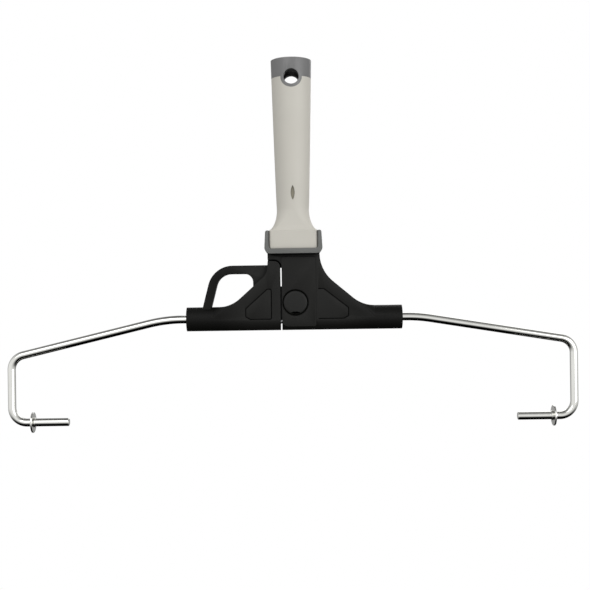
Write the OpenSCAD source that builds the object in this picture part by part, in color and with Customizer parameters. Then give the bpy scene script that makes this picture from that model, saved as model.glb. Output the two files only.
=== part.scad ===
// Wide double-arm roller frame with a sprung left half.
// The frame hangs on its hanging hole: the origin is that hole's centre, Z runs up the handle,
// X runs along the roller and the front faces -Y.

/* [Handle] */
// Diameter of the handle at its free end
handle_top_d = 35.6; // [34:0.2:44]
// Diameter of the handle at its waist
handle_waist_d = 28.2; // [27.6:0.2:33]
// Length of the handle from its free end to the bottom of the grip
handle_len = 166; // [135:1:205]
// Height of the waist above the bottom of the grip
waist_h = 35; // [32:0.5:45]
// Diameter of the hanging hole
hang_hole_d = 13.2; // [10:0.2:14]
// Distance of the hanging hole from the handle's free end
hang_hole_drop = 16.7; // [15:0.1:24]
// Height of the end cap at its sides
cap_h = 16.3; // [12:0.1:20]
// Chamfer of the end cap's top edge
cap_chamfer = 0.8; // [0.4:0.1:1.5]
// Width of the cap's rim round the hanging hole
cap_rim = 2.7; // [2:0.1:4]
// Outer diameter of the stiff core inside the grip
core_d = 25; // [24.6:0.1:25.4]
// Diameter of the core's tenon in the yoke
tenon_d = 16; // [12:0.5:18]
// Diameter of the pole socket's bore
socket_d = 19.2; // [17:0.1:20]
// Depth of the pole socket
socket_depth = 60; // [45:1:72]
// Wall of the pole socket insert
socket_wall = 1.7; // [1.2:0.1:2]
// Diameter of the cross pin that holds the core
core_pin_d = 5; // [3:0.5:6]

/* [Grip base and bumper] */
// Width of the grip's flared base
base_w = 43.6; // [40.5:0.2:52]
// Depth of the grip's flared base, front to back
base_d = 32; // [28:0.5:38]
// Height of the straight part of the grip's base
base_h = 16; // [13:0.5:20]
// Radius of the base's corners, seen from above
base_r = 3; // [2:0.5:6]
// Width of the bumper's band at its foot
bumper_side = 3.6; // [3:0.1:6]
// How much narrower the bumper's band is at its top
bumper_taper = 1.1; // [0:0.1:1.4]
// Height of the bumper's band under the grip
bumper_floor = 3.7; // [2:0.1:6]
// Height of the bumper
bumper_h = 19.9; // [16:0.1:24]
// Depth of the bumper, front to back
bumper_d = 34; // [30:0.5:40]

/* [Yoke] */
// Distance from the handle's axis to the end of each sleeve
yoke_reach = 94.3; // [86:0.1:115]
// Outer diameter of the sleeves, and depth of the webs
sleeve_d = 21; // [19.8:0.1:25]
// Width of the yoke's neck
neck_w = 45.3; // [44:0.1:52]
// Height of the neck's shoulder above the sleeve axis
neck_h = 56.4; // [54:0.2:68]
// Slope of the wings below the neck
wing_slope = 40; // [36:1:44]
// Radius of the wing's curve under the neck
wing_top_r = 32; // [26:0.5:34]
// Radius of the wing's curve into the sleeve
wing_foot_r = 30; // [24:0.5:34]
// How far the raised front and back panels stand proud
panel_proud = 0.6; // [0.4:0.1:1.5]
// Distance of the split from the handle's axis
split_x = 11.25; // [10.9:0.05:11.6]
// Width of the open split between the two halves
split_gap = 1.3; // [0.8:0.1:2]
// Depth of the trim grooves on the wings
groove_depth = 0.9; // [0.4:0.1:1.5]
// Width of the trim grooves on the wings
groove_w = 0.9; // [0.6:0.1:1.4]

/* [Left half] */
// Height of the left half's top above the sleeve axis
left_top_h = 50; // [47:0.5:51]
// Radius of the left half's top corner
left_corner_r = 5.3; // [4:0.1:7]
// Height of the finger loop's top above the sleeve axis
loop_top_h = 46.6; // [43:0.1:47]
// Width of the finger loop's bar
loop_bar = 7.4; // [6:0.1:9]
// Depth of the finger loop, front to back
loop_d = 12; // [8:0.5:16]
// Radius of the finger loop's outer corner
loop_r = 22; // [14:0.5:24]
// How far the body's lip reaches into the left half's top
lip_reach = 3; // [2:0.1:4]
// Thickness of the body's lip
lip_t = 2.6; // [2:0.1:3.4]
// How far the left half slides out
pull_travel = 35; // [20:1:36]

/* [Arms] */
// Diameter of the rods
rod_d = 7; // [6:0.1:8]
// Distance from the middle of the roller to each leg
leg_reach = 247.2; // [210:0.5:300]
// Distance of the roller's middle from the handle's axis, to the left
roller_shift = 2; // [0:0.5:6]
// Drop of the spindles below the sleeve axis
spindle_drop = 88.7; // [78:0.5:110]
// Slope of the left arm
left_slope = 13.2; // [8:0.2:16]
// Slope of the right arm
right_slope = 9.4; // [8:0.2:16]
// Bend radius of the rods outside the sleeves
sleeve_bend_r = 130; // [90:5:150]
// Bend radius of the rods at their corners
corner_bend_r = 13; // [11:0.5:16]
// How far the rods reach into the sleeves
rod_grip = 39; // [34:0.5:39]
// Length of each spindle beyond its washer
spindle_len = 31; // [20:0.5:40]
// Distance from each leg to its washer
washer_inset = 17.6; // [16.5:0.1:24]
// Diameter of the stop washers
washer_d = 18; // [14:0.5:22]
// Thickness of the stop washers
washer_t = 1.5; // [1:0.1:2]
// Diameter of the rings that hold each washer
stop_ring_d = 8.6; // [8.4:0.1:11]
// Length of the rings that hold each washer
stop_ring_t = 1.2; // [0.8:0.1:2]
// Depth of the rod's grooves under those rings
ring_groove = 0.3; // [0.15:0.05:0.4]
// Chamfer of the spindles' tips
tip_chamfer = 0.6; // [0.3:0.1:1.2]
// Diameter of the cross pins in the sleeves
rod_pin_d = 3; // [2:0.1:3.4]
// Length of the cross pins in the sleeves
rod_pin_len = 13; // [11:0.5:14]

/* [Slide and button] */
// Thickness of the guide tongue
tongue_t = 3.5; // [3:0.1:4]
// Height of the guide tongue's lower edge, below the sleeve axis
tongue_low = 4.5; // [3:0.1:4.8]
// Height of the guide tongue's upper edge above the sleeve axis
tongue_top = 28; // [25:0.5:28]
// Distance of the push button from the handle's axis
button_x = 1.1; // [1:0.05:1.6]
// Height of the push button above the sleeve axis
button_h = 13.6; // [13.2:0.1:14.5]
// Diameter of the push button
button_d = 21.2; // [17.5:0.1:21.4]
// How far the push button stands proud
button_proud = 0.6; // [0.2:0.1:1.5]
// Travel of the push button
button_travel = 1.8; // [1:0.1:1.9]
// Diameter of the button's stem
stem_d = 4; // [3:0.1:4.2]
// Diameter of the brake pad on the stem
pad_d = 12; // [9:0.2:13]
// Thickness of the brake pad
pad_t = 1.8; // [1:0.1:2]
// Diameter of the guide rod
guide_d = 4; // [3:0.1:4.4]
// Outer diameter of the closing spring
spring_d = 7.6; // [6.6:0.1:7.8]
// Wire of the closing spring
spring_wire = 0.8; // [0.5:0.1:0.9]
// Turns of the closing spring
spring_turns = 11; // [6:1:12]
// Outer diameter of the button spring
button_spring_d = 9; // [7:0.1:9.4]
// Wire of the button spring
button_wire = 0.7; // [0.4:0.1:0.8]

/* [Screws] */
// Diameter of the shell screws
screw_d = 3; // [2.5:0.1:3.2]
// Diameter of the shell screws' heads
screw_head_d = 5.6; // [5:0.1:6]
// Radial clearance round the shell screws' heads
screw_room = 0.15; // [0.1:0.05:0.3]
// Height of the shell screws' heads
screw_head_h = 2; // [1.4:0.1:2.2]

/* [Fits] */
// Radial clearance of a running fit
running = 0.06; // [0.03:0.01:0.09]
// Gap between sliding flat faces
slide_gap = 0.3; // [0.2:0.05:0.4]
// Wall of the mouldings
wall = 2.2; // [2:0.1:2.4]

/* [Hidden] */
$fn = 96;
eps = 0.01;

sleeve_r = sleeve_d / 2;
// Heights of the handle, measured from the hanging hole
handle_top_z = hang_hole_drop;
cap_low_z = handle_top_z - cap_h;
grip_low_z = handle_top_z - handle_len;
waist_z = grip_low_z + waist_h;
base_top_z = grip_low_z + base_h;
bumper_low_z = grip_low_z - bumper_floor;
// The yoke hangs its shoulder on the bumper's underside
yoke_z = bumper_low_z - neck_h;
tenon_depth = 15;
core_low_h = neck_h - tenon_depth;
// How far the pole socket's end lies below the cap's top, and the thickness of its floor
socket_inset = 1.5;
socket_floor = 3;
tenon_top_h = neck_h + bumper_floor + base_h - 2;
tenon_w = 38;
tenon_half_d = sleeve_r - 0.35;
core_pin_h = neck_h + bumper_floor + 6;
// Wing outline
wing_drop = neck_h - sleeve_r - wing_top_r * cos(wing_slope) - wing_foot_r * (1 - cos(wing_slope));
wing_line = wing_drop / tan(wing_slope);
wing_end = neck_w / 2 + wing_top_r * (1 - sin(wing_slope)) + wing_line + wing_foot_r * sin(wing_slope);
body_face_x = split_gap / 2 - split_x;
left_face_x = -split_gap / 2 - split_x;
panel_y = sleeve_r + panel_proud;
inner_y = panel_y - wall;
// Slide stack, front to back: guide block, tongue, brake pad, pad screw
plate_t = 2;
tongue_y0 = slide_gap;
tongue_y1 = tongue_y0 + tongue_t;
pad_y1 = tongue_y1 + pad_t;
pad_screw_h = 1.2;
// Depth of the button's back face, which leaves the spring its length when the button is in
cap_back_y = 2 * button_travel + 3.4;
button_spring_turns = 4;
// Nail mark at the button's foot: width, depth, height and its distance from the rim
nail_mark = [7, 1, 1.6];
nail_mark_rise = 1.9;
bore_rim_w = 1.2;
stem_slot_r = stem_d / 2 + slide_gap;
tongue_end_x = button_x + pull_travel + stem_slot_r + 7.4;
tongue_root_x = -38;
tongue_chamfer = 5;
tongue_slope_x = neck_w / 2 + 11.8;
guide_y = -4.4;
guide_h = -2.6;
block_x0 = body_face_x + 1;
block_x1 = block_x0 + 5.5;
cup_x = block_x1 + pull_travel + (spring_turns + 2) * spring_wire + 3.5;
cup_t = 2;
// Room round the closing spring in its channel
spring_room = 0.7;
clip_t = 0.8;
guide_end_x = cup_x + cup_t + clip_t + 1.6;
guide_root_x = -40;
// Head on the guide rod's root: length and how much wider it is than the rod
guide_head_t = 1.6;
guide_head_w = 2.6;
rod_in_x = yoke_reach - rod_grip;
left_reach = leg_reach + roller_shift;
right_reach = leg_reach - roller_shift;
// Inner face of a washer, and the two rings beside it, on an arm whose leg lies at reach
function washer_x(reach) = reach - washer_inset - washer_t;
function ring_spots(reach) = [
    washer_x(reach) - slide_gap - stop_ring_t, washer_x(reach) + washer_t + slide_gap
];
rod_pin_spots = [rod_in_x + 7, rod_in_x + 27];
// How far the straights of a rod lap into its bends
bend_lap = 0.4;
loop_in_top = loop_top_h - loop_bar;
// Left half: top of its web's slope, where the slope meets the sleeve, and the finger hole's edges
slope_top = [-neck_w / 2 - 0.8, neck_h - 17.4];
slope_foot = [slope_top[0] - 31.8, sleeve_r];
hole_right_x = -neck_w / 2 - 13;
hole_left_x = -65;
loop_lean = 0.26;
loop_foot_x = -70.5 - loop_top_h * loop_lean;
lip_low_h = left_top_h - 5.8;
// Raised panel on the body
panel_low = 7.1;
panel_right_x = 19;
panel_top_h = neck_h - 3;
// Where a web starts to blend into its sleeve
foot_x = 40;
foot_blend_h = 30;
// Lens-shaped mark pressed into the grip's front
mark_len = 12.8;
mark_w = 3.4;
mark_depth = 0.9;
mark_r = (mark_len * mark_len + mark_w * mark_w) / (4 * mark_w);
mark_z = waist_z + 14;
// How far the screw heads lie below the rear face, and where their shanks end at the front
screw_sink = 0.6;
screw_end_y = -6.8;
// Shell screws: each is [x, height]
body_screw_spots = [[-4.6, 33.6], [17, 38], [rod_in_x - 4.6, 10.4]];
slider_screw_spots = [[-18, 40], [-22, 15], [-32, 15], [-46.4, 8.6]];

// Corner of an outline, rounded to radius r with n steps
function unit(v) = v / norm(v);
function corner(p0, p1, p2, r, n) = r <= 0 ? [p1] : let(
    a = unit(p0 - p1), b = unit(p2 - p1), half = acos(a * b) / 2,
    c = p1 + unit(a + b) * r / sin(half),
    s = p1 + a * r / tan(half) - c, e = p1 + b * r / tan(half) - c,
    a0 = atan2(s[1], s[0]), turn = (atan2(e[1], e[0]) - a0 + 540) % 360 - 180
) [for (i = [0:n]) c + r * [cos(a0 + turn * i / n), sin(a0 + turn * i / n)]];
function rounded(pts, radii, n = 8) = let(k = len(pts)) [
    for (i = [0:k - 1]) each corner(pts[(i + k - 1) % k], pts[i], pts[(i + 1) % k], radii[i], n)
];
function box_points(w, d) = [[-w / 2, -d / 2], [w / 2, -d / 2], [w / 2, d / 2], [-w / 2, d / 2]];
function arc(cx, cy, r, a0, a1, n) = [
    for (i = [0:n]) [cx + r * cos(a0 + (a1 - a0) * i / n), cy + r * sin(a0 + (a1 - a0) * i / n)]
];
// Curved edge of a wing, from the neck's shoulder down to the sleeve
function wing_edge() = concat(
    arc(neck_w / 2 + wing_top_r, neck_h, wing_top_r, 180, 270 - wing_slope, 14),
    arc(wing_end, sleeve_r + wing_foot_r, wing_foot_r, 270 - wing_slope, 270, 12)
);
// Moves each side of a convex outline inwards by d
function inset(pts, d) = let(k = len(pts)) [
    for (i = [0:k - 1]) let(
        a = unit(pts[(i + k - 1) % k] - pts[i]), b = unit(pts[(i + 1) % k] - pts[i]), half = acos(a * b) / 2
    ) pts[i] + unit(a + b) * d / sin(half)
];
// Trim outline of a wing on the right-hand side, longer by extra
function trim_points(extra) = [
    [19.4, -1], [19.4, 26], [23.6 + extra / 2, 26], [42.7 + extra, 9], [42.7 + extra, 1.5], [38.4 + extra, -1]
];
module trim_groove(extra) difference() {
    polygon(rounded(trim_points(extra), [for (i = [0:5]) 1.8]));
    polygon(rounded(inset(trim_points(extra), groove_w), [for (i = [0:5]) 1.8 - groove_w]));
}

module at_yoke() translate([0, 0, yoke_z]) children();
// Extrudes an X-Z outline from y0 to y1
module slab(y0, y1) translate([0, y1, 0]) rotate([90, 0, 0]) linear_extrude(y1 - y0) children();
// A cylinder along Y from y0 to y1, centred on x and z
module along_y(x, z, y0, y1, d) translate([x, y0, z]) rotate([-90, 0, 0]) cylinder(d = d, h = y1 - y0);
// A cylinder along X from x0 to x1, centred on y and z
module along_x(x0, x1, y, z, d) translate([x0, y, z]) rotate([0, 90, 0]) cylinder(d = d, h = x1 - x0);
module front_half() intersection() {
    children();
    translate([-300, -50, -300]) cube([600, 50, 600]);
}
module rear_half() intersection() {
    children();
    translate([-300, 0, -300]) cube([600, 50, 600]);
}

// ---- handle ----
function grip_radius(z) = let(t = (z - waist_z) / (handle_top_z - waist_z))
    handle_waist_d / 2 + (handle_top_d - handle_waist_d) / 2 * pow(max(t, 0), 0.85);
module hang_hole() along_y(0, 0, -handle_top_d, handle_top_d, hang_hole_d);
module round_handle(z0, z1, steps) rotate_extrude() polygon(concat(
    [[0, z0]], [for (i = [0:steps]) let(z = z0 + (z1 - z0) * i / steps) [grip_radius(z), z]], [[0, z1]]
));
module cap_ring() along_y(0, 0, -handle_top_d, handle_top_d, hang_hole_d + 2 * cap_rim);

module end_cap() color("dimgray") difference() {
    union() {
        difference() {
            round_handle(cap_low_z, handle_top_z, 3);
            rotate_extrude() polygon([
                [handle_top_d / 2 - cap_chamfer, handle_top_z + eps], [handle_top_d / 2 + 1, handle_top_z + eps],
                [handle_top_d / 2 + 1, handle_top_z - cap_chamfer]
            ]);
        }
        intersection() {
            round_handle(cap_low_z - hang_hole_d, cap_low_z, 3);
            cap_ring();
        }
    }
    translate([0, 0, -handle_len]) cylinder(d = core_d, h = 2 * handle_len);
    hang_hole();
}

module base_outline() polygon(rounded(box_points(base_w, base_d), [base_r, base_r, base_r, base_r], 7));
// One level of the grip's flare
module flare_level(z, w, d, r) translate([0, 0, z]) linear_extrude(0.05)
    polygon(rounded(box_points(w, d), [r, r, r, r], 7));
module flare() {
    span = waist_z - base_top_z;
    levels = 5;
    for (i = [0:levels - 1]) hull() for (k = [i, i + 1]) {
        t = k / levels;
        bulge = 1 - sqrt(1 - pow(1 - t, 2) * 0.98);
        w = handle_waist_d + (base_w - handle_waist_d) * bulge / 0.859;
        d = handle_waist_d + (base_d - handle_waist_d) * bulge / 0.859;
        round_r = min(w, d) / 2 - 0.02 - (base_d / 2 - base_r) * pow(1 - t, 1.4);
        flare_level(base_top_z + span * t - 0.05 * t, w, d, round_r);
    }
}
module grip() color("silver") difference() {
    union() {
        round_handle(waist_z, cap_low_z, 10);
        flare();
        translate([0, 0, grip_low_z]) linear_extrude(base_h)
            base_outline();
    }
    cap_ring();
    translate([0, 0, grip_low_z - 1]) cylinder(d = core_d, h = handle_len + 2);
    translate([-tenon_w / 2, -tenon_half_d, grip_low_z - 1])
        cube([tenon_w, 2 * tenon_half_d, yoke_z + tenon_top_h - grip_low_z + 1]);
    grip_mark();
}
module grip_mark() intersection() {
    floor_y = mark_depth - grip_radius(mark_z);
    along_y(mark_r - mark_w / 2, mark_z, -handle_top_d, floor_y, 2 * mark_r);
    along_y(mark_w / 2 - mark_r, mark_z, -handle_top_d, floor_y, 2 * mark_r);
}

module handle_core() color("dimgray") difference() {
    union() {
        translate([0, 0, yoke_z + tenon_top_h]) cylinder(d = core_d, h = handle_top_z - socket_inset - yoke_z - tenon_top_h);
        translate([0, 0, yoke_z + core_low_h]) cylinder(d = tenon_d, h = tenon_top_h - core_low_h + 1);
    }
    translate([0, 0, handle_top_z - socket_depth]) cylinder(d = socket_d + 2 * socket_wall, h = socket_depth + 1);
    hang_hole();
    core_pin(0);
}
module core_pin(extra) along_y(0, yoke_z + core_pin_h, -tenon_half_d - extra, tenon_half_d + extra, core_pin_d);
module handle_pin() color("lightgray") core_pin(0);

module pole_socket() color("gray") difference() {
    translate([0, 0, handle_top_z - socket_depth])
        cylinder(d = socket_d + 2 * socket_wall, h = socket_depth - socket_inset);
    translate([0, 0, handle_top_z - socket_depth + socket_floor]) cylinder(d = socket_d, h = socket_depth);
    hang_hole();
}

module collar_bumper() color("gray") {
    foot_w = base_w / 2 + bumper_side;
    top_w = foot_w - bumper_taper;
    window_w = base_w / 2 - 0.4;
    z0 = bumper_low_z;
    z1 = bumper_low_z + bumper_h;
    difference() {
        slab(-bumper_d / 2, bumper_d / 2) polygon(rounded(
            [[-foot_w, z0], [foot_w, z0], [top_w, z1], [-top_w, z1]], [5, 5, 1.6, 1.6]
        ));
        translate([0, 0, grip_low_z]) linear_extrude(bumper_h) base_outline();
        slab(-bumper_d, bumper_d) polygon(rounded(
            [[-window_w, grip_low_z + 0.5], [window_w, grip_low_z + 0.5],
             [window_w, z1 + 5], [-window_w, z1 + 5]], [2.2, 2.2, 0, 0]
        ));
        translate([-tenon_w / 2, -tenon_half_d, z0 - 1]) cube([tenon_w, 2 * tenon_half_d, bumper_floor + 2]);
    }
}

// ---- yoke body ----
// A right-hand web that blends into its sleeve from foot_x outwards
module web(outline) intersection() {
    slab(-sleeve_r, sleeve_r) polygon(outline);
    union() {
        translate([0, -sleeve_r, 0]) cube([foot_x, sleeve_d, 2 * neck_h]);
        hull($fn = 32) {
            translate([foot_x - 0.2, -sleeve_r, 0]) cube([0.2, sleeve_d, foot_blend_h]);
            along_x(wing_end, wing_end + 0.2, 0, 0, sleeve_d);
        }
    }
}
module body_panel(y0, y1) slab(y0, y1) polygon(rounded(
    [[body_face_x, -panel_low], [panel_right_x, -panel_low], [panel_right_x, panel_top_h],
     [body_face_x, panel_top_h]], [5, 2, 2, 0.6]
));
module body_mass() {
    web(concat([[0, neck_h]], wing_edge(), [[wing_end, 0], [0, 0]]));
    // Web left of the axis, and the neck over the left half's top corner
    slab(-sleeve_r, sleeve_r) polygon(concat(
        [[0, 0], [0, neck_h], [-neck_w / 2, neck_h], [-neck_w / 2, left_top_h + split_gap]],
        arc(left_face_x - left_corner_r, left_top_h - left_corner_r, left_corner_r + split_gap, 90, 0, 8),
        [[body_face_x, 0]]
    ));
    along_x(body_face_x, yoke_reach, 0, 0, sleeve_d);
    body_panel(-panel_y, panel_y);
    // Lip that closes the gap over the left half's top corner
    slab(-lip_t / 2, lip_t / 2) polygon([
        [-neck_w / 2, left_top_h - lip_reach], [left_face_x - lip_reach, left_top_h - lip_reach],
        [left_face_x - lip_reach, lip_low_h], [body_face_x + 1, lip_low_h],
        [body_face_x + 1, left_top_h + split_gap + 1], [-neck_w / 2, left_top_h + split_gap + 1]
    ]);
    translate([-tenon_w / 2, -tenon_half_d, neck_h - 1]) cube([tenon_w, 2 * tenon_half_d, tenon_top_h - neck_h + 1]);
}
function tongue_outline(x0, grow) = [
    [x0, -tongue_low - grow], [tongue_end_x + grow, -tongue_low - grow],
    [tongue_end_x + grow, tongue_top + (tongue_slope_x - tongue_end_x) * tan(wing_slope)],
    [tongue_slope_x, tongue_top + grow], [x0, tongue_top + grow]
];
module screw_holes(spots) for (s = spots) {
    along_y(s[0], s[1], screw_end_y - 0.4, panel_y, screw_d);
    along_y(s[0], s[1], sleeve_r - screw_head_h - screw_sink, panel_y + 1, screw_head_d + 2 * screw_room);
}
module rod_holes(x0, x1) {
    along_x(x0, x1, 0, 0, rod_d);
    for (x = rod_pin_spots) along_y(sign(x0 + x1) * x, 0, -rod_pin_len / 2, rod_pin_len / 2, rod_pin_d);
}
module body_cuts() {
    // Tongue slot and pad chamber
    slab(0, tongue_y1 + slide_gap) polygon(tongue_outline(body_face_x - 1, slide_gap));
    along_y(button_x, button_h, 0, inner_y, pad_d + 1.2);
    // Button bore and its spring chamber
    along_y(button_x, button_h, -panel_y - 1, button_travel - cap_back_y + slide_gap, button_d + 2 * running);
    along_y(button_x, button_h, -panel_y, -plate_t, button_spring_d + 1);
    // Guide block and closing spring channel
    block_mass();
    along_x(block_x1 - 1, guide_end_x + 1.2, guide_y, guide_h, spring_d + 2 * spring_room);
    translate([block_x1 - 1, guide_y, guide_h - spring_d / 2 - spring_room])
        cube([guide_end_x + 2.2 - block_x1, -guide_y, spring_d + 2 * spring_room]);
    along_x(body_face_x - 1, block_x1, guide_y, guide_h, guide_d + 1);
    // Handle tenon and its pin
    translate([0, 0, core_low_h]) cylinder(d = tenon_d, h = 60);
    along_y(0, core_pin_h, -tenon_half_d - 1, tenon_half_d + 1, core_pin_d);
    rod_holes(rod_in_x, yoke_reach + 1);
    screw_holes(body_screw_spots);
    // Rim round the button's bore, and the trim groove, on the front and back
    translate([button_x, -panel_y - eps, button_h]) rotate([-90, 0, 0])
        cylinder(d1 = button_d + 2 * bore_rim_w, d2 = button_d, h = bore_rim_w);
    for (s = [-1, 1]) slab(s * sleeve_r - groove_depth, s * sleeve_r + groove_depth)
        intersection() {
            trim_groove(5);
            translate([panel_right_x + 2, -5]) square([40, 40]);
        }
}
module body_front() color("#2b2b2a") at_yoke() front_half() difference() { body_mass(); body_cuts(); }
module body_rear() color("#2b2b2a") at_yoke() rear_half() difference() { body_mass(); body_cuts(); }

module block_mass() {
    translate([block_x0, -plate_t, button_h - 11.6]) cube([button_x - block_x0 + 8, plate_t, 20.6]);
    translate([block_x0, guide_y - 3.4, guide_h - 3.4]) cube([block_x1 - block_x0, 3.4 - guide_y, 9]);
}
module guide_block() color("beige") at_yoke() difference() {
    block_mass();
    along_x(block_x0 - 1, block_x1 + 1, guide_y, guide_h, guide_d + 2 * running);
    along_y(button_x, button_h, -plate_t - 1, 1, stem_d + 2 * running);
}

module screw(x, z) {
    along_y(x, z, screw_end_y, sleeve_r - screw_head_h, screw_d);
    difference() {
        along_y(x, z, sleeve_r - screw_head_h - screw_sink, sleeve_r - screw_sink, screw_head_d);
        for (a = [0, 90]) translate([x, sleeve_r - screw_sink, z]) rotate([0, a, 0])
            cube([screw_head_d * 0.6, 1.6, 0.9], center = true);
    }
}
module body_screws() color("lightgray") at_yoke() for (s = body_screw_spots) screw(s[0], s[1]);

// ---- left half ----
module loop_plate() slab(-loop_d / 2, loop_d / 2) polygon(rounded(
    [[left_face_x - 6, loop_top_h], [-70.5, loop_top_h], [loop_foot_x, 0], [left_face_x - 6, 0]],
    [0, loop_r, 0, 0], 14
));
module loop_hole() slab(-loop_d, loop_d) polygon(rounded(
    [[hole_right_x, loop_in_top], [hole_left_x, loop_in_top], [hole_left_x - loop_in_top * loop_lean, 0],
     [hole_right_x, 0]], [7.4, 13, 0, 0], 10
));
// Outline of the left half's web, drawn on the right-hand side
function left_outline() = [for (p = rounded(
    [[left_face_x, 0], [left_face_x, left_top_h], [-neck_w / 2, left_top_h], slope_top, slope_foot,
     [-wing_end, sleeve_r], [-wing_end, 0]],
    [0, left_corner_r, 0, 12, 28, 0, 0], 12
)) [-p[0], p[1]]];
module slider_mass() {
    mirror([1, 0, 0]) web(left_outline());
    difference() {
        loop_plate();
        loop_hole();
    }
    along_x(-yoke_reach, left_face_x, 0, 0, sleeve_d);
}
module slider_cuts() {
    // Slot for the body's lip
    translate([-neck_w, -lip_t / 2 - slide_gap, left_top_h - lip_reach - slide_gap])
        cube([neck_w, lip_t + 2 * slide_gap, 2 * lip_reach]);
    translate([left_face_x - lip_reach - slide_gap, -lip_t / 2 - slide_gap, lip_low_h - slide_gap])
        cube([2 * lip_reach, lip_t + 2 * slide_gap, left_top_h]);
    slab(tongue_y0, tongue_y1) polygon([
        [tongue_root_x, -tongue_low], [0, -tongue_low], [0, tongue_top], [tongue_root_x + tongue_chamfer, tongue_top],
        [tongue_root_x, tongue_top - tongue_chamfer]
    ]);
    along_x(guide_root_x, 0, guide_y, guide_h, guide_d);
    translate([guide_root_x, guide_y, guide_h - guide_d / 2]) cube([40, -guide_y, guide_d]);
    along_x(guide_root_x - guide_head_t, guide_root_x, guide_y, guide_h, guide_d + guide_head_w);
    translate([guide_root_x - guide_head_t, guide_y, guide_h - (guide_d + guide_head_w) / 2])
        cube([guide_head_t, -guide_y, guide_d + guide_head_w]);
    rod_holes(-yoke_reach - 1, -rod_in_x);
    screw_holes(slider_screw_spots);
    for (s = [-1, 1]) slab(s * sleeve_r - groove_depth, s * sleeve_r + groove_depth)
        mirror([1, 0]) trim_groove(0);
}
module slider_front() color("#262626") at_yoke() front_half() difference() { slider_mass(); slider_cuts(); }
module slider_rear() color("#262626") at_yoke() rear_half() difference() { slider_mass(); slider_cuts(); }
module slider_screws() color("lightgray") at_yoke() for (s = slider_screw_spots) screw(s[0], s[1]);

module guide_tongue() color("#1d1d1d") at_yoke() difference() {
    union() {
        slab(tongue_y0, tongue_y1) polygon(tongue_outline(left_face_x, 0));
        slab(tongue_y0, tongue_y1) polygon([
            [tongue_root_x, -tongue_low], [left_face_x + 1, -tongue_low], [left_face_x + 1, tongue_top],
            [tongue_root_x + tongue_chamfer, tongue_top], [tongue_root_x, tongue_top - tongue_chamfer]
        ]);
    }
    along_y(button_x, button_h, 0, 20, 2 * stem_slot_r);
    along_y(button_x + pull_travel, button_h, 0, 20, 2 * stem_slot_r);
    translate([button_x, 0, button_h - stem_slot_r]) cube([pull_travel, 20, 2 * stem_slot_r]);
    for (s = slider_screw_spots) along_y(s[0], s[1], 0, 20, screw_d);
}

module guide_rod() color("silver") at_yoke() difference() {
    union() {
        along_x(guide_root_x, guide_end_x, guide_y, guide_h, guide_d);
        along_x(guide_root_x - guide_head_t, guide_root_x, guide_y, guide_h, guide_d + guide_head_w);
    }
    // Groove for the clip
    difference() {
        along_x(cup_x + cup_t, cup_x + cup_t + clip_t, guide_y, guide_h, guide_d + 1);
        along_x(cup_x, cup_x + cup_t + 2, guide_y, guide_h, guide_d - 1);
    }
}
module spring_cup() color("silver") at_yoke() difference() {
    along_x(cup_x, cup_x + cup_t, guide_y, guide_h, spring_d);
    along_x(cup_x - 1, cup_x + cup_t + 1, guide_y, guide_h, guide_d);
}
module retaining_clip() color("dimgray") at_yoke() difference() {
    along_x(cup_x + cup_t, cup_x + cup_t + clip_t, guide_y, guide_h, spring_d - 0.6);
    along_x(cup_x, cup_x + 5, guide_y, guide_h, guide_d - 1);
    translate([cup_x, guide_y - spring_d, guide_h - 1]) cube([5, spring_d, 2]);
}

// A coil along +Z between z = 0 and z = len: one ring of points per step along the helix
function coil_point(a, r, len, wire, turns) =
    [r * cos(a), r * sin(a), wire / 2 + (len - wire) * a / (360 * turns)];
module coil(od, wire, turns, len) {
    r = (od - wire) / 2;
    sides = 6;
    steps = 14;
    last = turns * steps;
    rise = atan((len - wire) / (turns * 2 * PI * r));
    polyhedron(
        points = [for (i = [0:last]) let(a = 360 * i / steps, c = coil_point(a, r, len, wire, turns))
            for (k = [0:sides - 1]) let(b = 360 * k / sides)
                c + wire / 2 * (cos(b) * [cos(a), sin(a), 0]
                    + sin(b) * [sin(rise) * sin(a), -sin(rise) * cos(a), cos(rise)])],
        faces = concat(
            [[for (k = [0:sides - 1]) k]],
            [for (i = [0:last - 1]) for (k = [0:sides - 1])
                [i * sides + k, (i + 1) * sides + k, (i + 1) * sides + (k + 1) % sides, i * sides + (k + 1) % sides]],
            [[for (k = [sides - 1:-1:0]) last * sides + k]]
        )
    );
}
module closing_spring() color("silver") at_yoke() translate([block_x1, guide_y, guide_h]) rotate([0, 90, 0])
    coil(spring_d, spring_wire, spring_turns, cup_x - block_x1);
module button_spring() color("silver") at_yoke() translate([button_x, -cap_back_y, button_h]) rotate([-90, 0, 0])
    coil(button_spring_d, button_wire, button_spring_turns, cap_back_y - plate_t);

// ---- arms ----
// Bend in the X-Z plane between two angles, about a centre, drawn a hair thinner than the straights
// that its ends lie in
module bend(cx, cz, r, a0, a1) translate([cx, 0, cz]) rotate([90, 0, 0]) rotate([0, 0, a0])
    rotate_extrude(angle = a1 - a0) translate([r, 0]) circle(d = rod_d - 0.04);
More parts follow.
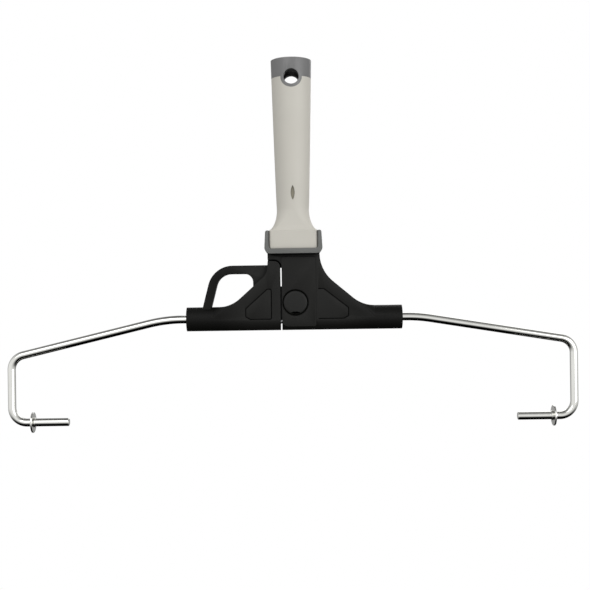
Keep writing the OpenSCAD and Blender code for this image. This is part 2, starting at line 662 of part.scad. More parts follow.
// Right-hand rod with an arm that slopes down by slope to a leg at reach
module rod(slope, reach) {
    bend_x = yoke_reach + 4;
    arm_x = bend_x + sleeve_bend_r * sin(slope);
    arm_z = -sleeve_bend_r * (1 - cos(slope));
    arm_len = (reach - corner_bend_r * (1 - sin(slope)) - arm_x) / cos(slope);
    corner_z = arm_z - arm_len * sin(slope) - corner_bend_r * cos(slope);
    foot_z = corner_bend_r - spindle_drop;
    tip_x = washer_x(reach) - spindle_len;
    difference() {
        union() {
            along_x(rod_in_x, bend_x + bend_lap, 0, 0, rod_d);
            bend(bend_x, -sleeve_bend_r, sleeve_bend_r, 90 - slope, 90);
            translate([arm_x, 0, arm_z]) rotate([0, 90 + slope, 0]) translate([0, 0, -bend_lap])
                cylinder(d = rod_d, h = arm_len + 2 * bend_lap);
            bend(reach - corner_bend_r, corner_z, corner_bend_r, 0, 90 - slope);
            translate([reach, 0, foot_z - bend_lap]) cylinder(d = rod_d, h = corner_z - foot_z + 2 * bend_lap);
            bend(reach - corner_bend_r, foot_z, corner_bend_r, -90, 0);
            along_x(tip_x + tip_chamfer, reach - corner_bend_r + bend_lap, 0, -spindle_drop, rod_d);
            translate([tip_x, 0, -spindle_drop]) rotate([0, 90, 0])
                cylinder(d1 = rod_d - 2 * tip_chamfer, d2 = rod_d, h = tip_chamfer);
        }
        for (x = rod_pin_spots) along_y(x, 0, -rod_d, rod_d, rod_pin_d);
        for (x = ring_spots(reach)) difference() {
            along_x(x, x + stop_ring_t, 0, -spindle_drop, rod_d + 1);
            along_x(x - 1, x + stop_ring_t + 1, 0, -spindle_drop, rod_d - 2 * ring_groove);
        }
    }
}
module rod_pins() for (x = rod_pin_spots) along_y(x, 0, -rod_pin_len / 2, rod_pin_len / 2, rod_pin_d);
module stop_rings(reach) for (x = ring_spots(reach)) difference() {
    along_x(x, x + stop_ring_t, 0, -spindle_drop, stop_ring_d);
    along_x(x - 1, x + stop_ring_t + 1, 0, -spindle_drop, rod_d - 2 * ring_groove);
}
module washer(reach) let(x = washer_x(reach)) difference() {
    along_x(x, x + washer_t, 0, -spindle_drop, washer_d);
    along_x(x - 1, x + washer_t + 1, 0, -spindle_drop, rod_d + 2 * running);
}
module right_rod() color("lightgray") at_yoke() rod(right_slope, right_reach);
module left_rod() color("lightgray") at_yoke() mirror([1, 0, 0]) rod(left_slope, left_reach);
module right_rod_pins() color("gray") at_yoke() rod_pins();
module left_rod_pins() color("gray") at_yoke() mirror([1, 0, 0]) rod_pins();
module right_stop_rings() color("lightgray") at_yoke() stop_rings(right_reach);
module left_stop_rings() color("lightgray") at_yoke() mirror([1, 0, 0]) stop_rings(left_reach);
module right_washer() color("lightgray") at_yoke() washer(right_reach);
module left_washer() color("lightgray") at_yoke() mirror([1, 0, 0]) washer(left_reach);

// ---- button ----
module lock_button() color("#202020") at_yoke() {
    difference() {
        along_y(button_x, button_h, -panel_y - button_proud, -cap_back_y, button_d);
        // Thumb-nail mark at the button's foot
        translate([button_x, -panel_y - button_proud, button_h - button_d / 2 + nail_mark_rise])
            cube(nail_mark, center = true);
    }
    along_y(button_x, button_h, -cap_back_y - eps, tongue_y1, stem_d);
}
module brake_pad() color("brown") at_yoke() along_y(button_x, button_h, tongue_y1, pad_y1, pad_d);
module pad_screw() color("silver") at_yoke() difference() {
    along_y(button_x, button_h, pad_y1, pad_y1 + pad_screw_h, stem_d + 1.4);
    translate([button_x, pad_y1 + pad_screw_h, button_h]) cube([stem_d, 1, 0.8], center = true);
}

end_cap();
grip();
handle_core();
pole_socket();
handle_pin();
collar_bumper();
body_front();
body_rear();
body_screws();
guide_block();
right_rod();
right_rod_pins();
right_stop_rings();
right_washer();
slider_front();
slider_rear();
slider_screws();
guide_tongue();
guide_rod();
spring_cup();
retaining_clip();
closing_spring();
left_rod();
left_rod_pins();
left_stop_rings();
left_washer();
lock_button();
button_spring();
brake_pad();
pad_screw();
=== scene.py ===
"""Looks of a wide double-arm roller frame: moulded handle, two-part yoke, plated arms and studio."""

import logging
import math
from dataclasses import dataclass, field
from enum import Enum

import bmesh
import bpy
from mathutils import Matrix, Vector


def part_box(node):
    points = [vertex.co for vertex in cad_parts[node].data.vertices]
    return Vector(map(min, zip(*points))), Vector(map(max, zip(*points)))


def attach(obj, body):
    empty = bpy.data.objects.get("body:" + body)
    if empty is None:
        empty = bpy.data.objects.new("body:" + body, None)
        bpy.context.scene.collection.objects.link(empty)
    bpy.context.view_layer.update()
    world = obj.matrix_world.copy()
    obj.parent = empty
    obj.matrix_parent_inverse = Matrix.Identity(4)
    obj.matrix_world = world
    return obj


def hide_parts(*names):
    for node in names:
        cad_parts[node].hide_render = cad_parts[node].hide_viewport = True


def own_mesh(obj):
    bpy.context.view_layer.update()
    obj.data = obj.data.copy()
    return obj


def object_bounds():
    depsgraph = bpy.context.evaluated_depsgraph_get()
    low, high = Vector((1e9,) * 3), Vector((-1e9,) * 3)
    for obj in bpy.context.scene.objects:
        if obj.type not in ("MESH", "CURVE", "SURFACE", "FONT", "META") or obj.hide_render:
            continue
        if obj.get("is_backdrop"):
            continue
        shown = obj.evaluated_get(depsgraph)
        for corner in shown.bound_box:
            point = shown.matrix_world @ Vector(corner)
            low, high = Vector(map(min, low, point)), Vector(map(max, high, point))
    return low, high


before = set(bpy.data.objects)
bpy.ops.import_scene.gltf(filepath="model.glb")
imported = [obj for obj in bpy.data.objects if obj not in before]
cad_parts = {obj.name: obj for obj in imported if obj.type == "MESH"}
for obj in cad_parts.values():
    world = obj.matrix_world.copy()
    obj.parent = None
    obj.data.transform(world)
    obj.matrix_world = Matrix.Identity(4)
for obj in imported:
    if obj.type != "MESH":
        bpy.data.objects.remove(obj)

LOG = logging.getLogger("roller_frame")
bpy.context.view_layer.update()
MM = 0.001
FRAME_BODY = "frame"
LEFT_BODY = "left_half"
BUTTON_BODY = "button"


class Side(Enum):
    """Which side of the handle a piece lies on, as the sign of its X."""

    LEFT = -1
    RIGHT = 1


class Axis(Enum):
    """Axis that a turned piece is turned about."""

    X = 0
    Y = 1
    Z = 2


# ---------------------------------------------------------------- materials


def srgb(code: str) -> tuple[float, float, float, float]:
    """Turns an sRGB hex colour into linear RGBA.

    Args:
        code: six hex digits, with or without a leading hash.

    Returns:
        Linear red, green and blue, and an alpha of 1.
    """
    digits = code.lstrip("#")
    parts = [int(digits[i : i + 2], 16) / 255 for i in (0, 2, 4)]
    linear = [c / 12.92 if c <= 0.04045 else ((c + 0.055) / 1.055) ** 2.4 for c in parts]
    return (linear[0], linear[1], linear[2], 1.0)


def add(tree: bpy.types.NodeTree, kind: str, settings: dict | None = None, links: dict | None = None):
    """Adds a node, sets its properties and unlinked inputs, and links its inputs.

    Args:
        tree: the node tree that gets the node.
        kind: the node's type name.
        settings: property names, or input names or indices, with their values.
        links: input names or indices, with the output sockets that feed them.

    Returns:
        The new node.
    """
    node = tree.nodes.new(kind)
    for key, value in (settings or {}).items():
        if isinstance(key, str) and hasattr(node, key):
            setattr(node, key, value)
        else:
            node.inputs[key].default_value = value
    for key, socket in (links or {}).items():
        tree.links.new(socket, node.inputs[key])
    return node


def blank_material(name: str) -> tuple[bpy.types.Material, bpy.types.NodeTree, bpy.types.Node]:
    """Makes an empty node material.

    Args:
        name: the material's name.

    Returns:
        The material, its tree and its output node.
    """
    material = bpy.data.materials.new(name)
    material.use_nodes = True
    tree = material.node_tree
    tree.nodes.clear()
    return material, tree, tree.nodes.new("ShaderNodeOutputMaterial")


@dataclass(frozen=True)
class MouldedPlastic:
    """A moulded or rubbery finish: slight cloudiness, a fine eroded grain and soft gloss.

    Painted shade darkens the colour and gloss: in narrow places an ambient occlusion mask lowers them to the crevice
    level, and at the yoke's far ends they fall to the far level.
    """

    name: str
    colour: str
    cloud: str
    roughness: float
    grain_mm: float
    grain_depth_mm: float
    specular: float = 0.5
    crevice_painted_shade: float = 0.45
    crevice_painted_shade_mm: float = 5.0
    far_painted_shade: float = 1.0

    def build(self) -> bpy.types.Material:
        """Builds the material and returns it."""
        material, tree, out = blank_material(self.name)
        place = add(tree, "ShaderNodeTexCoord")
        cloud = add(tree, "ShaderNodeTexNoise", {"Scale": 1 / (22 * MM), "Detail": 3.0},
                    {"Vector": place.outputs["Object"]})
        tint = add(tree, "ShaderNodeMix", {"data_type": "RGBA", 6: srgb(self.colour), 7: srgb(self.cloud)},
                   {0: cloud.outputs["Fac"]})
        grain = add(tree, "ShaderNodeTexNoise", {"Scale": 1 / (self.grain_mm * MM), "Detail": 2.0},
                    {"Vector": place.outputs["Object"]})
        bump = add(tree, "ShaderNodeBump", {"Strength": 0.6, "Distance": self.grain_depth_mm * MM},
                   {"Height": grain.outputs["Fac"]})
        rough = add(tree, "ShaderNodeMapRange", {3: self.roughness - 0.05, 4: self.roughness + 0.07},
                    {0: cloud.outputs["Fac"]})
        # Painted shade: an ambient occlusion mask darkens colour and gloss in crevices, hollows and recesses.
        hollow = add(tree, "ShaderNodeAmbientOcclusion", {"samples": 8, "Distance": self.crevice_painted_shade_mm * MM})
        shade = add(tree, "ShaderNodeMapRange", {1: 0.35, 2: 0.95, 3: self.crevice_painted_shade, 4: 1.0},
                    {0: hollow.outputs["AO"]})
        # Painted shade: colour and gloss fall off from 38 mm to 66 mm out from the middle, darkening the yoke's far
        # ends.
        parts = add(tree, "ShaderNodeSeparateXYZ", links={0: place.outputs["Object"]})
        reach = add(tree, "ShaderNodeMath", {"operation": "ABSOLUTE"}, {0: parts.outputs["X"]})
        far = add(tree, "ShaderNodeMapRange", {1: 38 * MM, 2: 66 * MM, 3: 1.0, 4: self.far_painted_shade},
                  {0: reach.outputs[0]})
        # The two painted shades are multiplied together and into the colour and the gloss.
        painted_shade_level = add(tree, "ShaderNodeMath", {"operation": "MULTIPLY"}, {0: shade.outputs[0], 1: far.outputs[0]})
        painted_shade_tint = add(tree, "ShaderNodeMix", {"data_type": "RGBA", "blend_type": "MULTIPLY", 0: 1.0},
                   {6: tint.outputs[2], 7: painted_shade_level.outputs[0]})
        gloss = add(tree, "ShaderNodeMath", {"operation": "MULTIPLY", 1: self.specular}, {0: painted_shade_level.outputs[0]})
        shader = add(tree, "ShaderNodeBsdfPrincipled", {"IOR": 1.5},
                     {"Base Color": painted_shade_tint.outputs[2], "Specular IOR Level": gloss.outputs[0],
                      "Roughness": rough.outputs[0], "Normal": bump.outputs[0]})
        tree.links.new(shader.outputs[0], out.inputs[0])
        return material


@dataclass(frozen=True)
class PlatedMetal:
    """A plated metal: drawn lines so fine that they only blur the reflections a little."""

    name: str
    colour: str
    shade: str
    roughness: float
    line_mm: float

    def build(self) -> bpy.types.Material:
        """Builds the material and returns it."""
        material, tree, out = blank_material(self.name)
        place = add(tree, "ShaderNodeTexCoord")
        smudge = add(tree, "ShaderNodeTexNoise", {"Scale": 1 / (9 * MM), "Detail": 4.0},
                     {"Vector": place.outputs["Object"]})
        tint = add(tree, "ShaderNodeMix", {"data_type": "RGBA", 6: srgb(self.colour), 7: srgb(self.shade)},
                   {0: smudge.outputs["Fac"]})
        lines = add(tree, "ShaderNodeTexNoise", {"Scale": 1 / (self.line_mm * MM), "Detail": 1.0},
                    {"Vector": place.outputs["Object"]})
        rough = add(tree, "ShaderNodeMapRange", {3: self.roughness * 0.7, 4: self.roughness * 1.5},
                    {0: lines.outputs["Fac"]})
        shader = add(tree, "ShaderNodeBsdfPrincipled", {"Metallic": 1.0},
                     {"Base Color": tint.outputs[2], "Roughness": rough.outputs[0]})
        tree.links.new(shader.outputs[0], out.inputs[0])
        return material


# Polypropylene, moulded against a spark-eroded tool: warm light grey with a dull sheen
GRIP = MouldedPlastic("polypropylene_light_grey", "#C4C1B8", "#BFBCB3", 0.52, 0.7, 0.02)
# The same plastic in dark grey, a little glossier where the cap is handled; its hollows, the hang hole most, are
# painted nearly black as shade
CAP = MouldedPlastic("polypropylene_dark_grey", "#707070", "#676767", 0.42, 0.7, 0.02, 0.6, 0.02, 20.0)
# Thermoplastic rubber: even, dull and slightly soft at its edges
BUMPER = MouldedPlastic("thermoplastic_rubber_grey", "#696A68", "#626361", 0.58, 0.6, 0.02, 0.4, 0.8, 2.5)
# Glass-filled nylon: near black, with a leathery grain that scatters its highlights; its crevices and far ends carry
# strong painted shade
YOKE = MouldedPlastic("glass_filled_nylon_black", "#1A1A18", "#161615", 0.5, 0.9, 0.03, 0.16, 0.1,
                      far_painted_shade=0.6)
# Acetal button in the same black, smoother than the yoke; painted shade darkens its groove and nail mark strongly
BUTTON = MouldedPlastic("acetal_black", "#1B1C1A", "#171716", 0.45, 0.9, 0.015, 0.2, 0.05)
# Natural acetal guide block: milky off-white
BLOCK = MouldedPlastic("acetal_natural", "#D8D4C4", "#CFCBBB", 0.35, 1.2, 0.01)
# Nylon tongue, polished by sliding
TONGUE = MouldedPlastic("nylon_tongue_black", "#1D1D1C", "#171717", 0.32, 1.2, 0.01)
# Cast polyurethane brake pad, brick red and matt
PAD = MouldedPlastic("polyurethane_pad_red", "#7A3B2C", "#6B3327", 0.65, 0.8, 0.03)
# Taupe floor of the handle's pressed mark
MARK = MouldedPlastic("polypropylene_taupe", "#8F8A7C", "#86816F", 0.6, 0.7, 0.02)
# Nickel-chrome plate over drawn steel wire: bright, with crisp dark reflections
CHROME = PlatedMetal("nickel_chrome_plate", "#E2E2DE", "#D6D6D1", 0.07, 3.0)
# Zinc plate on steel screws, pins and springs: greyer and duller
ZINC = PlatedMetal("zinc_plate", "#B9BABB", "#A5A6A8", 0.28, 0.6)


class Palette:
    """The object's materials, each built once."""

    def __init__(self) -> None:
        """Builds no material until it is asked for."""
        self._built: dict[str, bpy.types.Material] = {}

    def get(self, finish: MouldedPlastic | PlatedMetal) -> bpy.types.Material:
        """Returns the material of a finish, built on first use.

        Args:
            finish: the finish wanted.

        Returns:
            The material.
        """
        if finish.name not in self._built:
            self._built[finish.name] = finish.build()
        return self._built[finish.name]


PALETTE = Palette()


# ---------------------------------------------------------------- mesh helpers


def link_mesh(name: str, mesh: bpy.types.Mesh) -> bpy.types.Object:
    """Puts a mesh in the scene as an object at the origin and returns the object."""
    obj = bpy.data.objects.new(name, mesh)
    bpy.context.scene.collection.objects.link(obj)
    return obj


def mesh_from(name: str, bm: bmesh.types.BMesh) -> bpy.types.Object:
    """Turns a bmesh into an object and frees it.

    Args:
        name: the object's name.
        bm: the bmesh, in metres in the row frame.

    Returns:
        The new object.
    """
    bmesh.ops.recalc_face_normals(bm, faces=bm.faces)
    mesh = bpy.data.meshes.new(name)
    bm.to_mesh(mesh)
    bm.free()
    return link_mesh(name, mesh)


def smooth_by_angle(obj: bpy.types.Object, degrees: float = 32.0) -> None:
    """Shades a mesh smooth and keeps edges sharper than the angle crisp."""
    mesh = obj.data
    mesh.polygons.foreach_set("use_smooth", [True] * len(mesh.polygons))
    mesh.set_sharp_from_angle(angle=math.radians(degrees))


def bake_modifiers(obj: bpy.types.Object) -> None:
    """Replaces an object's mesh by its evaluated mesh and removes its modifiers."""
    bpy.context.view_layer.update()
    graph = bpy.context.evaluated_depsgraph_get()
    baked = bpy.data.meshes.new_from_object(obj.evaluated_get(graph))
    old = obj.data
    obj.modifiers.clear()
    obj.data = baked
    baked.name = obj.name
    if old.users == 0 and isinstance(old, bpy.types.Mesh):
        bpy.data.meshes.remove(old)


def lathe(name: str, profile: list[tuple[float, float]], centre: Vector, axis: Axis, sides: int = 96) -> bpy.types.Object:
    """Turns a closed profile about an axis.

    Args:
        name: the object's name.
        profile: (distance from the axis, place along it) in metres, in order round the section.
        centre: point that places along the axis are measured from.
        axis: the axis of turning.
        sides: how many sections go round.

    Returns:
        The turned object.
    """
    bm = bmesh.new()
    order = {Axis.X: (1, 2, 0), Axis.Y: (2, 0, 1), Axis.Z: (0, 1, 2)}[axis]
    rings = []
    for i in range(sides):
        turn = 2 * math.pi * i / sides
        ring = []
        for radius, along in profile:
            point = [0.0, 0.0, 0.0]
            point[order[0]] = radius * math.cos(turn)
            point[order[1]] = radius * math.sin(turn)
            point[order[2]] = along
            ring.append(bm.verts.new(centre + Vector(point)))
        rings.append(ring)
    count = len(profile)
    for i in range(sides):
        here, there = rings[i], rings[(i + 1) % sides]
        for k in range(count):
            j = (k + 1) % count
            if profile[k][0] < 1e-9 and profile[j][0] < 1e-9:
                continue
            bm.faces.new((here[k], here[j], there[j], there[k]))
    bmesh.ops.remove_doubles(bm, verts=bm.verts, dist=1e-7)
    bmesh.ops.dissolve_degenerate(bm, edges=bm.edges, dist=1e-8)
    obj = mesh_from(name, bm)
    smooth_by_angle(obj)
    return obj


def rounded_profile(r_in: float, r_out: float, low: float, high: float, edge: float, steps: int = 4) -> list[tuple[float, float]]:
    """Section of a ring with rounded outer edges.

    Args:
        r_in: inner radius.
        r_out: outer radius.
        low: lowest place along the axis.
        high: highest place along the axis.
        edge: radius of the outer edges.
        steps: segments in each rounding.

    Returns:
        The section's points.
    """
    points = [(r_in, low)]
    for i in range(steps + 1):
        turn = math.pi / 2 * i / steps
        points.append((r_out - edge + edge * math.sin(turn), low + edge - edge * math.cos(turn)))
    for i in range(steps + 1):
        turn = math.pi / 2 * i / steps
        points.append((r_out - edge + edge * math.cos(turn), high - edge + edge * math.sin(turn)))
    points.append((r_in, high))
    return points


def clean_copy(node: str, name: str) -> bpy.types.Object:
    """Copies a CAD node's mesh, merges its loose triangles and joins its flat faces.

    Args:
        node: the CAD node's name.
        name: the copy's name.

    Returns:
        The copy, at the origin.
    """
    bm = bmesh.new()
    bm.from_mesh(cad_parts[node].data)
    bmesh.ops.remove_doubles(bm, verts=bm.verts, dist=2e-6)
    bmesh.ops.dissolve_limit(bm, angle_limit=math.radians(1.0), verts=bm.verts, edges=bm.edges)
    return mesh_from(name, bm)


def boolean_cut(obj: bpy.types.Object, cutter: bpy.types.Object) -> None:
    """Cuts one mesh from another and removes the cutter."""
    modifier = obj.modifiers.new("cut", "BOOLEAN")
    modifier.operation = "DIFFERENCE"
    modifier.solver = "EXACT"
    modifier.object = cutter
    bake_modifiers(obj)
    bpy.data.objects.remove(cutter)


def dress(obj: bpy.types.Object, finish: MouldedPlastic | PlatedMetal, body: str, slot: str, *nodes: str) -> None:
    """Gives a piece its material and its body, and hides the CAD nodes that it stands for.

    Args:
        obj: the piece.
        finish: its finish.
        body: the CAD body that it rides on.
        slot: the record's material slot; not used.
        nodes: the CAD nodes that it replaces.
    """
    obj.data.materials.clear()
    obj.data.materials.append(PALETTE.get(finish))
    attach(obj, body)
    if nodes:
        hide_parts(*nodes)
    LOG.info("%s: %d faces on %s", obj.name, len(obj.data.polygons), body)


# ---------------------------------------------------------------- moulded parts with softened edges


@dataclass
class SoftenedMoulding:
    """A moulding whose CAD form is kept, with its edges rounded as a tool leaves them."""

    node: str
    finish: MouldedPlastic
    body: str
    slot: str
    edge_mm: float
    segments: int = 2
    sharp_deg: float = 28.0

    def build(self) -> bpy.types.Object:
        """Builds, dresses and returns the moulding."""
        obj = clean_copy(self.node, self.node + "_moulding")
        bevel = obj.modifiers.new("edges", "BEVEL")
        bevel.width = self.edge_mm * MM
        bevel.segments = self.segments
        bevel.limit_method = "ANGLE"
        bevel.angle_limit = math.radians(self.sharp_deg)
        bevel.use_clamp_overlap = True
        bake_modifiers(obj)
        smooth_by_angle(obj, 40)
        dress(obj, self.finish, self.body, self.slot, self.node)
        return obj


# ---------------------------------------------------------------- handle


@dataclass
class Handle:
    """The grip, its pressed mark, its end cap and the pole socket's threads."""

    sides: int = 96
    edge_r: float = 0.9 * MM
    base_corner: float = 3.0 * MM
    base_h: float = 16.0 * MM
    waist_h: float = 35.0 * MM
    waist_d: float = 28.2 * MM
    ring_r: float = 9.3 * MM
    mark_len: float = 12.8 * MM
    mark_w: float = 3.4 * MM
    mark_above_waist: float = 14.0 * MM
    thread_pitch: float = 5.08 * MM
    thread_depth: float = 1.0 * MM
    low: Vector = field(init=False)
    high: Vector = field(init=False)
    cap_low: float = field(init=False)
    top_r: float = field(init=False)
    top_z: float = field(init=False)

    def __post_init__(self) -> None:
        """Reads the handle's place from the frame."""
        self.low, self.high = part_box("grip")
        cap_low, cap_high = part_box("end_cap")
        self.top_r = (cap_high.x - cap_low.x) / 2
        self.top_z = cap_high.z
        self.cap_low = self.high.z

    def round_r(self, z: float) -> float:
        """Returns the round handle's radius at a height."""
        waist_z = self.low.z + self.waist_h
        t = max(0.0, (z - waist_z) / (self.top_z - waist_z))
        return self.waist_d / 2 + (self.top_r - self.waist_d / 2) * t**0.85

    def section(self, z: float) -> tuple[float, float, float]:
        """Gives the handle's section at a height.

        Args:
            z: the height.

        Returns:
            Half its width, half its depth and its corner radius.
        """
        base_w, base_d = (self.high.x - self.low.x) / 2, 16.0 * MM
        flare_low, waist_z = self.low.z + self.base_h, self.low.z + self.waist_h
        if z >= waist_z:
            r = self.round_r(z)
            return r, r, r
        t = max(0.0, (z - flare_low) / (waist_z - flare_low))
        bulge = (1 - math.sqrt(max(0.0, 1 - (1 - t) ** 2 * 0.98))) / 0.859
        w = self.waist_d / 2 + (base_w - self.waist_d / 2) * bulge
        d = self.waist_d / 2 + (base_d - self.waist_d / 2) * bulge
        corner = self.base_corner + (min(w, d) - self.base_corner) * t**0.8
        inset = 0.0
        rise = z - self.low.z
        if rise < self.edge_r:
            inset = self.edge_r - math.sqrt(max(0.0, self.edge_r**2 - (self.edge_r - rise) ** 2))
        return w - inset, d - inset, min(corner, w - inset, d - inset)

    def outline(self, z: float) -> list[Vector]:
        """Returns the points round the handle at a height."""
        w, d, r = self.section(z)
        points = []
        quarter = self.sides // 4
        for q, (sx, sy) in enumerate(((1, 1), (-1, 1), (-1, -1), (1, -1))):
            for i in range(quarter):
                turn = math.pi / 2 * (q + (i + 0.5) / quarter)
                x, y = math.cos(turn), math.sin(turn)
                points.append(Vector((sx * (w - r) + r * x, sy * (d - r) + r * y, z)))
        return points

    def build_grip(self) -> None:
        """Builds the grip as one smooth skin and cuts the cap's ring and the mark from it."""
        flare_low = self.low.z + self.base_h
        waist_z = self.low.z + self.waist_h
        edge = [self.low.z + self.edge_r * (1 - math.cos(math.pi / 2 * i / 5)) for i in range(6)]
        sides = [self.low.z + self.base_h * k for k in (0.35, 0.7)]
        flare = [flare_low + (waist_z - flare_low) * (i / 22) ** 1.35 for i in range(23)]
        shaft = [waist_z + (self.cap_low - waist_z) * i / 26 for i in range(1, 27)]
        bm = bmesh.new()
        rings = [[bm.verts.new(p) for p in self.outline(z)] for z in edge + sides + flare + shaft]
        for below, above in zip(rings, rings[1:]):
            for k in range(len(below)):
                j = (k + 1) % len(below)
                bm.faces.new((below[k], below[j], above[j], above[k]))
        bm.faces.new(list(reversed(rings[0])))
        bm.faces.new(rings[-1])
        grip = mesh_from("grip_skin", bm)
        reach = self.top_r * 1.2
        ring = lathe("ring_cutter", [(0, -reach), (self.ring_r, -reach), (self.ring_r, reach), (0, reach)],
                     Vector((0, 0, 0)), Axis.Y)
        boolean_cut(grip, ring)
        boolean_cut(grip, self.mark_solid("mark_cutter", self.mark_floor(), -reach, 0.0))
        smooth_by_angle(grip, 30)
        dress(grip, GRIP, FRAME_BODY, "grip", "grip")
        mark = self.mark_solid("grip_mark", self.mark_floor() + 1.2 * MM, self.mark_floor() - 0.05 * MM, 0.02 * MM)
        dress(mark, MARK, FRAME_BODY, "core")

    def mark_z(self) -> float:
        """Returns the height of the pressed mark's middle."""
        return self.low.z + self.waist_h + self.mark_above_waist

    def mark_floor(self) -> float:
        """Returns the Y of the pressed mark's floor."""
        return -(self.round_r(self.mark_z()) - 0.9 * MM)

    def mark_solid(self, name: str, y_back: float, y_front: float, grow: float) -> bpy.types.Object:
        """Makes the lens-shaped solid of the pressed mark.

        Args:
            name: the object's name.
            y_back: its back face.
            y_front: its front face.
            grow: how much it is larger than the mark.

        Returns:
            The solid.
        """
        half_l, half_w = self.mark_len / 2 + grow, self.mark_w / 2 + grow
        radius = (half_l**2 + half_w**2) / (2 * half_w)
        sweep = math.asin(half_l / radius)
        steps = 14
        outline = []
        for side in (1, -1):
            for i in range(steps):
                turn = side * sweep * (1 - 2 * i / steps)
                x = side * (radius * math.cos(turn) - (radius - half_w))
                outline.append((x, radius * math.sin(turn)))
        bm = bmesh.new()
        front = [bm.verts.new((x, y_front, self.mark_z() + z)) for x, z in outline]
        back = [bm.verts.new((x, y_back, self.mark_z() + z)) for x, z in outline]
        bm.faces.new(front)
        bm.faces.new(list(reversed(back)))
        for k in range(len(front)):
            j = (k + 1) % len(front)
            bm.faces.new((front[k], back[k], back[j], front[j]))
        return mesh_from(name, bm)

    def build(self) -> None:
        """Builds the grip, the cap and the threads."""
        self.build_grip()
        SoftenedMoulding("end_cap", CAP, FRAME_BODY, "cap", 0.35, 2, 35).build()
        socket_low, socket_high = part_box("pole_socket")
        bore_r = (socket_high.x - socket_low.x) / 2 - 1.7 * MM
        threads = ThreadRidge(bore_r, self.thread_depth, self.thread_pitch)
        threads.build(socket_low.z + 6 * MM, -8.5 * MM)


@dataclass
class ThreadRidge:
    """The helical ridge inside the pole socket, swept by Geometry Nodes."""

    radius: float
    depth: float
    pitch: float

    def build(self, low: float, high: float) -> None:
        """Builds the ridge between two heights.

        Args:
            low: its lowest height.
            high: its highest height.
        """
        turns = (high - low) / self.pitch
        coil = Coil("socket_threads", self.radius - self.depth * 0.35, self.depth, turns, high - low, 4)
        coil.build(Vector((0, 0, low)), Axis.Z, BLOCK, FRAME_BODY, "core")


# ---------------------------------------------------------------- geometry nodes


def node_group(name: str, inputs: dict[str, str]) -> tuple[bpy.types.NodeTree, bpy.types.Node, bpy.types.Node]:
    """Makes a Geometry Nodes tree with named inputs.

    Args:
        name: the tree's name.
        inputs: input names with their socket types.

    Returns:
        The tree, its input node and its output node.
    """
    tree = bpy.data.node_groups.new(name, "GeometryNodeTree")
    tree.interface.new_socket("Geometry", in_out="INPUT", socket_type="NodeSocketGeometry")
    for label, kind in inputs.items():
        tree.interface.new_socket(label, in_out="INPUT", socket_type=kind)
    tree.interface.new_socket("Geometry", in_out="OUTPUT", socket_type="NodeSocketGeometry")
    return tree, tree.nodes.new("NodeGroupInput"), tree.nodes.new("NodeGroupOutput")


def run_tree(obj: bpy.types.Object, tree: bpy.types.NodeTree, values: dict) -> None:
    """Runs a tree on an object with its inputs set by identifier, and keeps the result as plain mesh.

    Args:
        obj: the object that carries the tree.
        tree: the Geometry Nodes tree.
        values: input names with their values.
    """
    modifier = obj.modifiers.new(tree.name, "NODES")
    modifier.node_group = tree
    for item in tree.interface.items_tree:
        if item.item_type == "SOCKET" and item.in_out == "INPUT" and item.name in values:
            modifier[item.identifier] = values[item.name]
    bake_modifiers(obj)


def end_tree(tree: bpy.types.NodeTree, out: bpy.types.Node, geometry, material) -> None:
    """Ends a tree with Realize Instances and Set Material.

    Args:
        tree: the tree.
        out: its output node.
        geometry: the socket to finish.
        material: the socket that carries the material.
    """
    real = add(tree, "GeometryNodeRealizeInstances", links={0: geometry})
    painted = add(tree, "GeometryNodeSetMaterial", links={0: real.outputs[0], "Material": material})
    tree.links.new(painted.outputs[0], out.inputs[0])


@dataclass
class Coil:
    """A wire wound in a helix, as a spring or a thread ridge."""

    name: str
    radius: float
    wire: float
    turns: float
    length: float
    wire_sides: int = 12

    def tree(self) -> bpy.types.NodeTree:
        """Builds the coil's tree and returns it."""
        tree, source, out = node_group("coil_" + self.name, {
            "Radius": "NodeSocketFloat", "Wire": "NodeSocketFloat", "Turns": "NodeSocketFloat",
            "Length": "NodeSocketFloat", "Finish": "NodeSocketMaterial",
        })
        helix = add(tree, "GeometryNodeCurveSpiral", {"Resolution": 40}, {
            "Rotations": source.outputs["Turns"], "Start Radius": source.outputs["Radius"],
            "End Radius": source.outputs["Radius"], "Height": source.outputs["Length"],
        })
        section = add(tree, "GeometryNodeCurvePrimitiveCircle", {"Resolution": self.wire_sides},
                      {"Radius": source.outputs["Wire"]})
        tube = add(tree, "GeometryNodeCurveToMesh", {"Fill Caps": True},
                   {"Curve": helix.outputs[0], "Profile Curve": section.outputs[0]})
        end_tree(tree, out, tube.outputs[0], source.outputs["Finish"])
        return tree

    def build(self, foot: Vector, axis: Axis, finish: MouldedPlastic | PlatedMetal, body: str, slot: str,
              *nodes: str) -> bpy.types.Object:
        """Builds the coil and dresses it.

        Args:
            foot: the middle of its first end.
            axis: the axis it is wound about.
            finish: its finish.
            body: the body that it rides on.
            slot: the record's material slot.
            nodes: the CAD nodes that it replaces.

        Returns:
            The coil.
        """
        obj = link_mesh(self.name, bpy.data.meshes.new(self.name))
        run_tree(obj, self.tree(), {
            "Radius": self.radius, "Wire": self.wire / 2, "Turns": self.turns, "Length": self.length,
            "Finish": PALETTE.get(finish),
        })
        turn = {Axis.X: Matrix.Rotation(math.pi / 2, 4, "Y"), Axis.Y: Matrix.Rotation(-math.pi / 2, 4, "X"),
                Axis.Z: Matrix.Identity(4)}[axis]
        obj.data.transform(Matrix.Translation(foot) @ turn)
        smooth_by_angle(obj, 50)
        dress(obj, finish, body, slot, *nodes)
        return obj


# ---------------------------------------------------------------- arms


